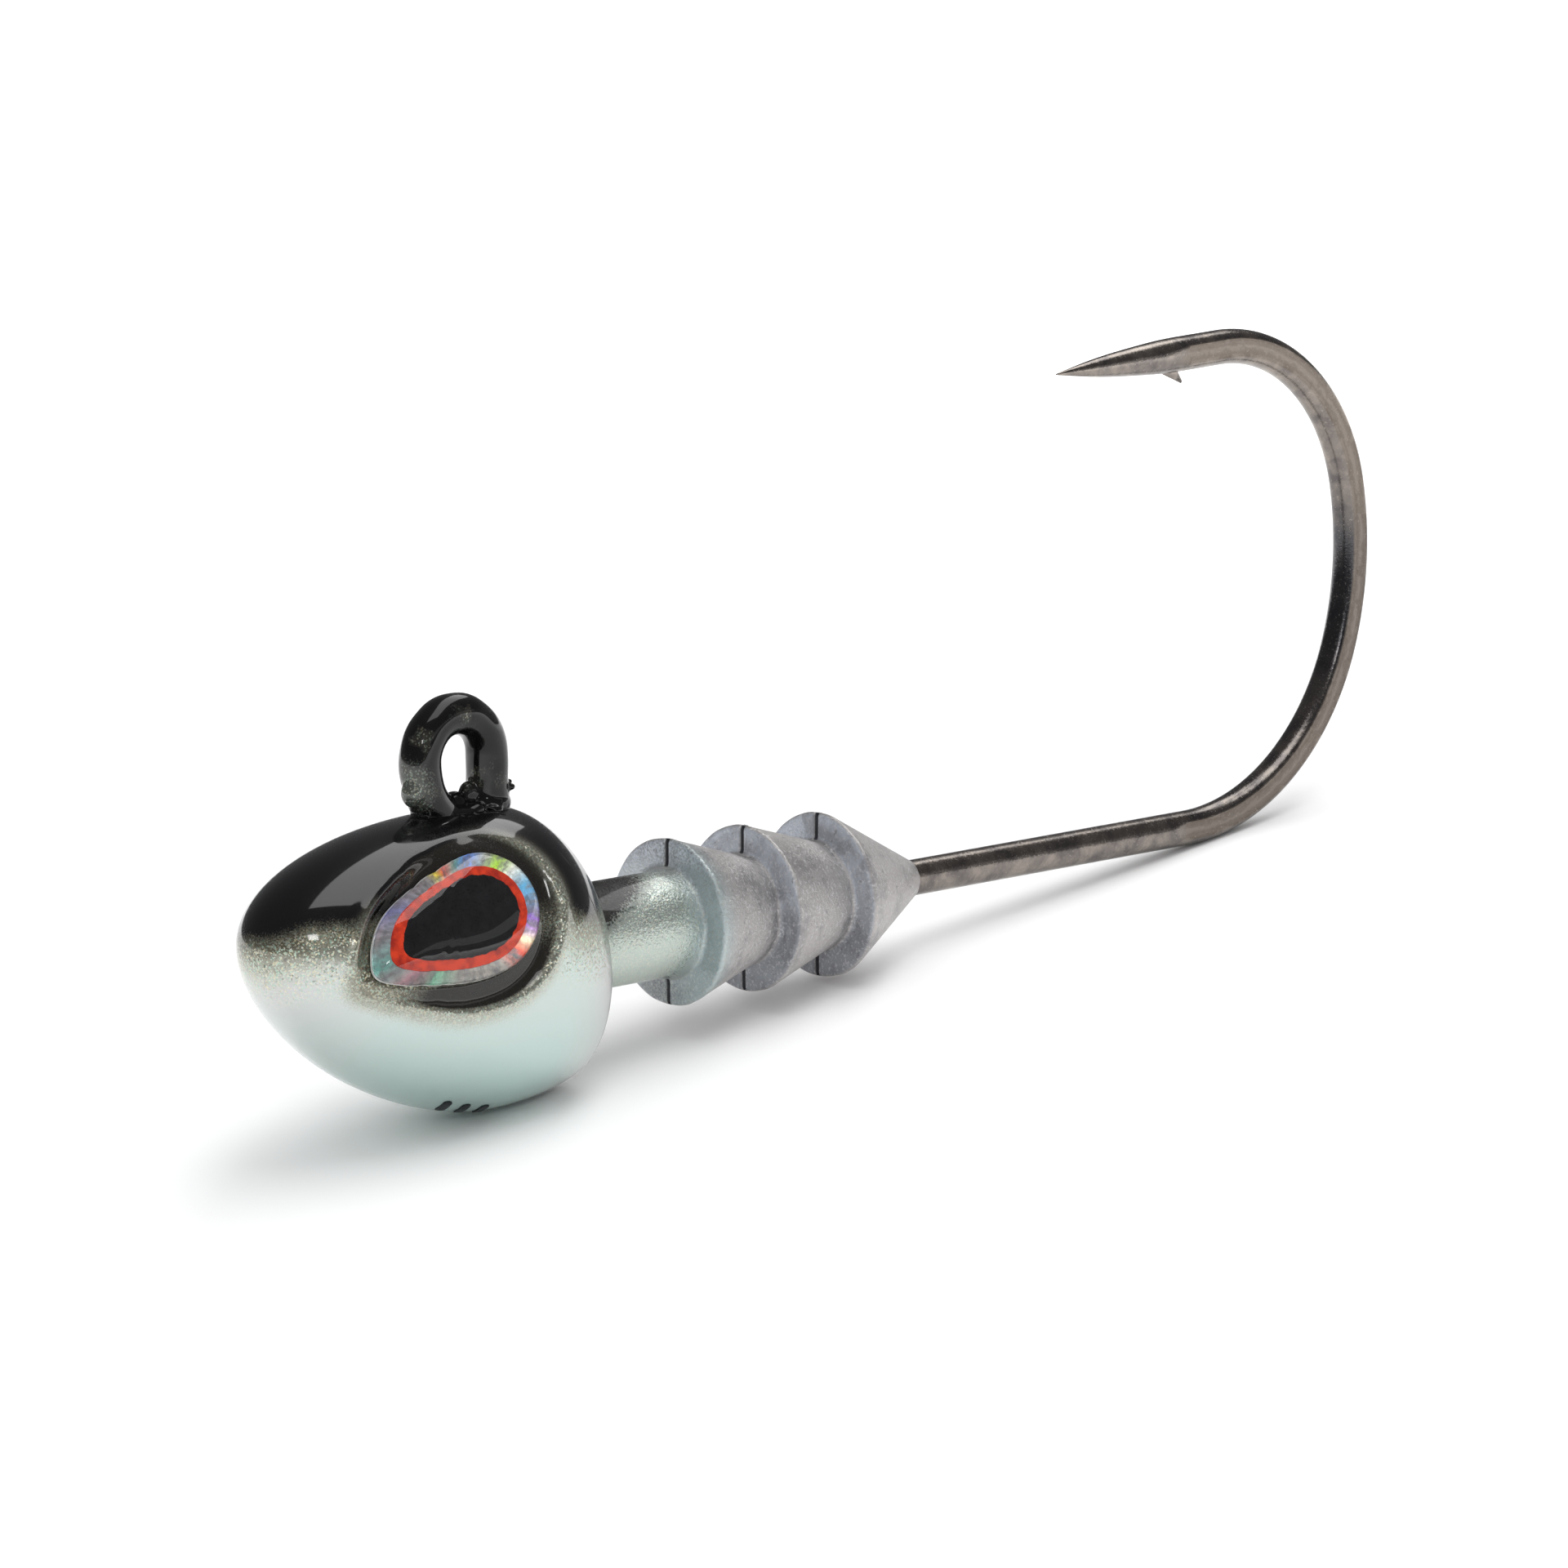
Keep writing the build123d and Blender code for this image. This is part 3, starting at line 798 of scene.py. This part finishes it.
def eyeLayer(name, side, nodeName, bottom, top, share, slotName, material, ragged=0.0, hole=None):
    bm = bmesh.new()
    bmesh.ops.create_circle(bm, cap_ends=True, segments=eyeBuild["segments"] * 2, radius=1)
    if hole is not None:
        bmesh.ops.inset_region(bm, faces=bm.faces[:], thickness=0.1, use_boundary=True, use_even_offset=True)
        bmesh.ops.delete(bm, geom=[f for f in bm.faces if len(f.verts) > 4], context="FACES")
    for vertex in bm.verts:
        angle = atan2(vertex.co.y, vertex.co.x)
        if hole is not None and hypot(vertex.co.x, vertex.co.y) < 0.95:
            vertex.co = (*stickerShare(angle, hole, eyeBuild["pupilRagged"]), bottom)
        else:
            vertex.co = (*stickerShare(angle, share, ragged), bottom)
    flat = bm.faces[:] + bm.edges[:] + bm.verts[:]
    grown = bmesh.ops.extrude_face_region(bm, geom=flat, use_keep_orig=True)["geom"]
    bmesh.ops.translate(bm, verts=onlyVerts(grown), vec=(0, 0, top - bottom))
    for vertex in bm.verts:
        vertex.co = seatPlace(*vertex.co, side)
    piece = finishPiece(name, bm, [nodeName], material)
    piece.data.shade_flat()


def eyeDome(name, side, nodeName, material):
    e = eyeBuild
    bottom = e["adhesive"] + e["foil"] - e["sunk"]
    bm = bmesh.new()
    bmesh.ops.create_uvsphere(bm, u_segments=e["segments"], v_segments=e["rings"], radius=1)
    for vertex in bm.verts:
        share = hypot(vertex.co.x, vertex.co.y)
        angle = atan2(vertex.co.y, vertex.co.x)
        reach = stickerReach(angle) * share
        rise = 0.0
        if vertex.co.z > 0:
            rise = e["rimHeight"] * (1 - share ** e["rimPower"]) ** 0.5
            rise += e["domeRise"] * (1 - share ** e["domePower"]) ** 0.75
        vertex.co = seatPlace(reach * cos(angle), reach * sin(angle), bottom + rise, side)
    finishPiece(name, bm, [nodeName], material)


def eyePlaceNodes(tree):
    place = objectPlace(tree)
    parts = node(tree, "ShaderNodeSeparateXYZ", {0: place})
    left = times(tree, maths(tree, "ABSOLUTE", parts.outputs[1]), -1.0)  # both eyes read as the left one
    folded = node(tree, "ShaderNodeCombineXYZ", {0: parts.outputs[0], 1: left, 2: parts.outputs[2]}).outputs[0]
    middle = toRow @ seatMiddle
    turned = toRow.to_3x3() * 1000
    values = []
    for axis in (seatRun, seatUp):
        direction = (turned @ axis) * 1000
        dot = vectorMaths(tree, "DOT_PRODUCT", "Value", {0: folded, 1: tuple(direction)})
        values.append(maths(tree, "SUBTRACT", dot, middle.dot(direction)))
    return place, values[0], values[1]


foilFinish = {"silver": (0.30, 0.30, 0.31), "patch": 0.95, "shard": 9000.0}


def makeFoil():
    material, tree, shader = newMaterial("holographicFoil")
    place, across, up = eyePlaceNodes(tree)
    angle = maths(tree, "ARCTAN2", up, across)
    turn = span(tree, angle, -pi, pi)
    # colours around the eye, from its narrow end under the eye and back over the top
    hues = ramp(tree, turn, [
        (0.0, (0.42, 0.42, 0.46)), (0.05, (0.20, 0.50, 0.44)), (0.10, (0.52, 0.20, 0.26)), (0.14, (0.20, 0.48, 0.32)),
        (0.22, (0.42, 0.40, 0.36)), (0.36, (0.40, 0.38, 0.34)), (0.41, (0.90, 0.10, 0.05)), (0.44, (0.85, 0.76, 0.50)),
        (0.47, (0.38, 0.06, 0.80)), (0.50, (0.20, 0.25, 0.40)), (0.54, (0.12, 0.46, 0.75)), (0.575, (0.95, 1.0, 0.90)),
        (0.60, (0.50, 0.85, 0.05)), (0.63, (0.34, 0.40, 0.32)), (0.67, (0.10, 0.28, 0.90)), (0.70, (0.22, 0.50, 0.44)),
        (0.74, (0.90, 0.16, 0.12)), (0.77, (0.90, 0.80, 0.10)), (0.80, (0.34, 0.35, 0.35)), (0.90, (0.32, 0.32, 0.38)),
        (0.95, (0.24, 0.26, 0.50)), (1.0, (0.42, 0.42, 0.46))])
    streaks = {0: times(tree, turn, 26.0), 1: times(tree, across, 0.6), 2: times(tree, up, 0.9)}
    broken = noiseValue(tree, node(tree, "ShaderNodeCombineXYZ", streaks).outputs[0], 1.6, 3.0, 0.6)
    patches = span(tree, broken, 0.34, 0.54)
    cells = node(tree, "ShaderNodeTexVoronoi", {"Vector": place, "Scale": foilFinish["shard"]}, feature="F1")
    shard = node(tree, "ShaderNodeSeparateColor", {0: cells.outputs["Color"]})
    tone = mixColour(tree, times(tree, patches, foilFinish["patch"]), foilFinish["silver"], hues)
    bright = span(tree, shard.outputs[0], 0.0, 1.0, 0.75, 1.1)
    bright = times(tree, bright, span(tree, broken, 0.3, 0.7, 0.55, 1.35))
    tone = mixColour(tree, 1.0, tone, grey(tree, bright), "MULTIPLY")
    feed(tree, shader, "Base Color", tone)
    shader.inputs["Metallic"].default_value = 0.55
    shader.inputs["Roughness"].default_value = 0.32
    # painted glow: the foil gives off a faint light of its own colour
    feed(tree, shader, "Emission Color", tone)
    shader.inputs["Emission Strength"].default_value = 0.1
    feed(tree, shader, "Normal", tipped(tree, cells.outputs["Color"], 0.5, 0.35))
    return material


def makeInk(name, colour, second, roughness, paintedGlow):
    material, tree, shader = newMaterial(name)
    place = objectPlace(tree)
    mottled = noiseValue(tree, place, 2600, 3.0)
    fine = noiseValue(tree, place, 16000, 2.0)
    tone = mixColour(tree, span(tree, mottled, 0.42, 0.66), colour, second)
    feed(tree, shader, "Base Color", tone)
    feed(tree, shader, "Roughness", span(tree, fine, 0.3, 0.7, roughness - 0.05, roughness + 0.08))
    feed(tree, shader, "Normal", bumped(tree, fine, 0.15, 0.00001))
    shader.inputs["Specular IOR Level"].default_value = 0.1
    # painted glow: the ink gives off a faint light of its own colour
    if paintedGlow:
        feed(tree, shader, "Emission Color", tone)
        shader.inputs["Emission Strength"].default_value = paintedGlow
    return material


def makeResin():
    material, tree, shader = newMaterial("domingResin")
    shader.inputs["Base Color"].default_value = (1, 1, 1, 1)
    shader.inputs["Transmission Weight"].default_value = 1.0
    shader.inputs["IOR"].default_value = 1.46
    place = objectPlace(tree)
    ripple = noiseValue(tree, place, 420, 2.0)
    feed(tree, shader, "Roughness", span(tree, noiseValue(tree, place, 5000, 2.0), 0.3, 0.7, 0.0, 0.02))
    feed(tree, shader, "Normal", bumped(tree, ripple, 0.02, 0.0001))
    clear = node(tree, "ShaderNodeBsdfTransparent")
    path = node(tree, "ShaderNodeLightPath")
    shaders = {0: path.outputs["Is Shadow Ray"], 1: shader.outputs[0], 2: clear.outputs[0]}  # shadows pass through
    blend = node(tree, "ShaderNodeMixShader", shaders)
    tree.links.new(blend.outputs[0], tree.nodes["Material Output"].inputs["Surface"])
    return material


def makeEyes():
    e = eyeBuild
    glue = makeInk("stickerAdhesive", (0.62, 0.62, 0.60), (0.50, 0.50, 0.48), 0.5, 0)
    foil = makeFoil()
    iris = makeInk("irisInk", (0.60, 0.045, 0.014), (0.30, 0.018, 0.010), 0.35, 0.12)
    pupil = makeInk("pupilInk", (0.004, 0.004, 0.0045), (0.007, 0.007, 0.008), 0.3, 0)
    resin = makeResin()
    foilTop = e["adhesive"] + e["foil"]
    inkTop = foilTop + e["ink"]
    layers = (  # name, node, bottom, top, share, slot, material, then how ragged and which hole
        ("eyeAdhesive", "eye_adhesive", 0.0, e["adhesive"], e["sticker"], "eye_adhesive", glue),
        ("eyeFoil", "eye_foil", e["adhesive"], foilTop, e["foilShare"], "eye_foil", foil),
        ("eyeIris", "eye_iris", foilTop, inkTop, e["irisShare"], "iris_ink", iris, e["irisRagged"], e["pupilShare"]),
        ("eyePupil", "eye_pupil", foilTop, inkTop, e["pupilShare"], "pupil_ink", pupil, e["pupilRagged"]),
    )
    for label, side in (("left", -1), ("right", 1)):
        title = label.capitalize()
        for name, nodeName, *rest in layers:
            eyeLayer(name + title, side, f"{nodeName}_{label}", *rest)
        eyeDome("eyeDome" + title, side, "eye_dome_" + label, resin)


makeEyes()
print("eyes built")


markShape = {
    "x": -11.71, "y": -1.3, "pitch": 0.84, "count": 3, "length": 1.1, "width": 0.32, "slant": 20,
    "lift": 0.035, "sunk": -0.004,  # thickness, and where the foot sits against the head's surface
}


def makeMark(material):
    m = markShape
    bm = bmesh.new()
    for bar in range(m["count"]):
        grid = bmesh.ops.create_grid(bm, x_segments=24, y_segments=8, size=0.5)
        for vertex in grid["verts"]:
            half = m["width"] / 2
            run = vertex.co.x * m["length"]
            end = m["length"] / 2 - half
            narrow = 1.0 if abs(run) < end else max(0.05, 1 - ((abs(run) - end) / half) ** 2) ** 0.5
            across = vertex.co.y * m["width"] * narrow
            slant = radians(m["slant"])
            x = m["x"] + bar * m["pitch"] + run * sin(slant) + across * cos(slant)
            y = m["y"] + run * cos(slant) - across * sin(slant)
            middle, halfHeight, halfWidth = headSection(x)
            vertex.co = (x, y, middle - halfHeight * (1 - (y / halfWidth) ** 2) ** 0.5 + m["sunk"])
        own = set(grid["verts"])
        faces = [f for f in bm.faces if all(v in own for v in f.verts)]
        grown = bmesh.ops.extrude_face_region(bm, geom=faces, use_keep_orig=True)["geom"]
        bmesh.ops.translate(bm, verts=onlyVerts(grown), vec=(0, 0, -m["lift"]))
    return finishPiece("sizeMark", bm, ["size_mark"], material)


makeMark(makeInk("markInk", (0.015, 0.018, 0.02), (0.03, 0.034, 0.036), 0.4, 0))
print("size mark built")


stageSettings = {
    "floorSize": 12.0, "floorDrop": 0.00001, "floorTone": 0.90,
    "glowStart": 0.035, "glowEnd": 0.16, "glow": 0.75, "floorLift": 0.02,
    "world": 0.15, "aim": (-0.01, 0, 0.005),  # where the small lamps point
    "strip": {"middle": (0.372, 0.036, 0.6), "length": 1.17, "width": 0.30, "turn": 39, "radiance": 2.6},
    "left": {"middle": (-0.52, -0.73, 0.44), "length": 0.12, "width": 0.12, "radiance": 13.0},
    "low": {"middle": (0.33, -0.74, 0.15), "length": 0.7, "width": 0.10, "radiance": 0.5},
    "sky": {"strength": 2.25, "angle": 130},
}
cameraSettings = {
    "place": (-170.61, -185.28, 47.29), "aim": (0.67993, 0.71426, -0.16592), "up": (0.12116, 0.11373, 0.98610),
    "lens": 166.36,
}


def makeFloor():
    bm = bmesh.new()
    bmesh.ops.create_grid(bm, x_segments=1, y_segments=1, size=stageSettings["floorSize"] / 2)
    bmesh.ops.translate(bm, verts=bm.verts, vec=(0, 0, -stageSettings["floorDrop"]))
    mesh = bpy.data.meshes.new("floor")
    bm.to_mesh(mesh)
    bm.free()
    material, tree, shader = newMaterial("paleFloor")
    tone = stageSettings["floorTone"]
    shader.inputs["Base Color"].default_value = (tone, tone, tone, 1)
    shader.inputs["Roughness"].default_value = 0.9
    shader.inputs["Specular IOR Level"].default_value = 0.1
    place = objectPlace(tree)
    away = vectorMaths(tree, "LENGTH", "Value", {0: place})
    fade = {0: away, 1: stageSettings["glowStart"], 2: stageSettings["glowEnd"], 3: 0.0, 4: stageSettings["glow"]}
    glow = node(tree, "ShaderNodeMapRange", fade, interpolation_type="SMOOTHSTEP").outputs[0]
    feed(tree, shader, "Emission Color", grey(tree, plus(tree, glow, stageSettings["floorLift"])))
    shader.inputs["Emission Strength"].default_value = 1.0
    mesh.materials.append(material)
    floor = bpy.data.objects.new("floor", mesh)
    scene.collection.objects.link(floor)


def addArea(name, middle, width, length, turn, radiance, aim=None):
    light = bpy.data.lights.new(name, "AREA")
    light.shape, light.size, light.size_y = "RECTANGLE", length, width
    light.energy = radiance * pi * width * length
    lamp = bpy.data.objects.new(name, light)
    lamp.location = middle
    if aim is None:
        lamp.rotation_euler = (0, 0, radians(turn))
    else:
        lamp.rotation_euler = (Vector(aim) - Vector(middle)).to_track_quat("-Z", "Y").to_euler()
    scene.collection.objects.link(lamp)


def makeLight():
    world = bpy.data.worlds.new("studio")
    world.use_nodes = True
    tone = stageSettings["world"]
    world.node_tree.nodes["Background"].inputs[0].default_value = (tone, tone, tone * 1.03, 1)
    scene.world = world
    strip = stageSettings["strip"]
    addArea("stripBox", strip["middle"], strip["width"], strip["length"], strip["turn"], strip["radiance"])
    for name in ("left", "low"):
        lamp = stageSettings[name]
        size = lamp["width"], lamp["length"]
        addArea(name + "Lamp", lamp["middle"], *size, 0, lamp["radiance"], stageSettings["aim"])
    sky = bpy.data.lights.new("skyFill", "SUN")
    sky.energy, sky.angle = stageSettings["sky"]["strength"], radians(stageSettings["sky"]["angle"])
    fill = bpy.data.objects.new("skyFill", sky)
    fill.visible_glossy = False
    scene.collection.objects.link(fill)


def makeCamera():
    c = cameraSettings
    data = bpy.data.cameras.new("camera")
    data.lens, data.sensor_width = c["lens"], 36.0
    data.clip_start, data.clip_end = 0.01, 20.0
    data.dof.use_dof = False
    camera = bpy.data.objects.new("camera", data)
    turn = toRow.to_3x3() * 1000
    back = -(turn @ Vector(c["aim"])).normalized()
    right = (turn @ Vector(c["up"])).cross(back).normalized()
    up = back.cross(right)
    facing = Matrix((right, up, back)).transposed().to_4x4()
    camera.matrix_world = Matrix.Translation(toRow @ Vector(c["place"])) @ facing
    scene.collection.objects.link(camera)
    scene.camera = camera


makeFloor()
makeLight()
makeCamera()
scene.view_settings.view_transform = "Standard"
print("stage ready")
